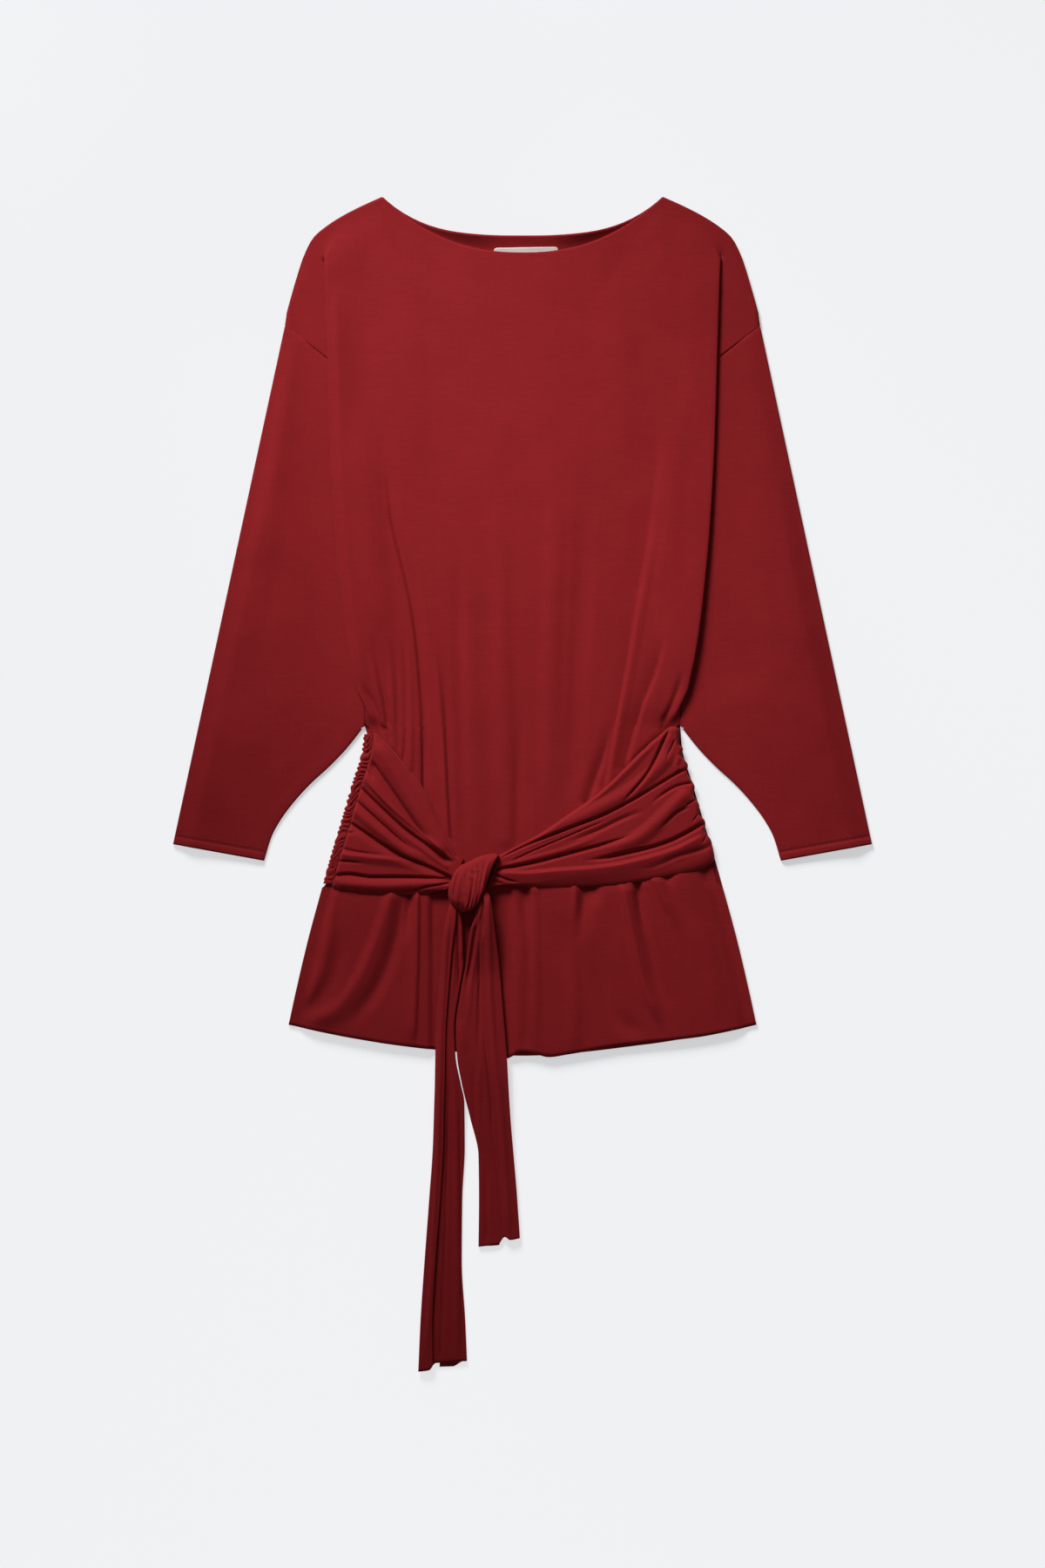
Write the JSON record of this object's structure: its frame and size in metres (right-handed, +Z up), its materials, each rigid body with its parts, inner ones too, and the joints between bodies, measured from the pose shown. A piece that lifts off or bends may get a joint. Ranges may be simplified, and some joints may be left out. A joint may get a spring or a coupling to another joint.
{
  "type": "mini dress",
  "caption": "Mini dress in red jersey laid flat: boat neck, batwing sleeves folded at the armholes, ruched side seams and a pleated sash knotted at the hip with hanging tails.",
  "frame": {"origin": "centre of the bounding box in X and Y, on the surface that the dress lies on in Z", "axes": "+X to the wearer's left, +Y along the dress from the hem to the neck, +Z up out of the front"},
  "size_m": [0.674, 1.132, 0.0269],
  "materials": {
    "jersey": "fine red viscose jersey with a soft, slightly brushed face",
    "label_satin": "off-white woven satin label, blank"
  },
  "bodies": {
    "root": {"front_body": "jersey", "back_body": "jersey", "sleeve_left": "jersey", "sleeve_right": "jersey", "sash_left": "jersey", "sash_right": "jersey", "sash_knot": "jersey", "tail_short": "jersey", "tail_long": "jersey", "neck_label": "label_satin"}
  },
  "joints": []
}
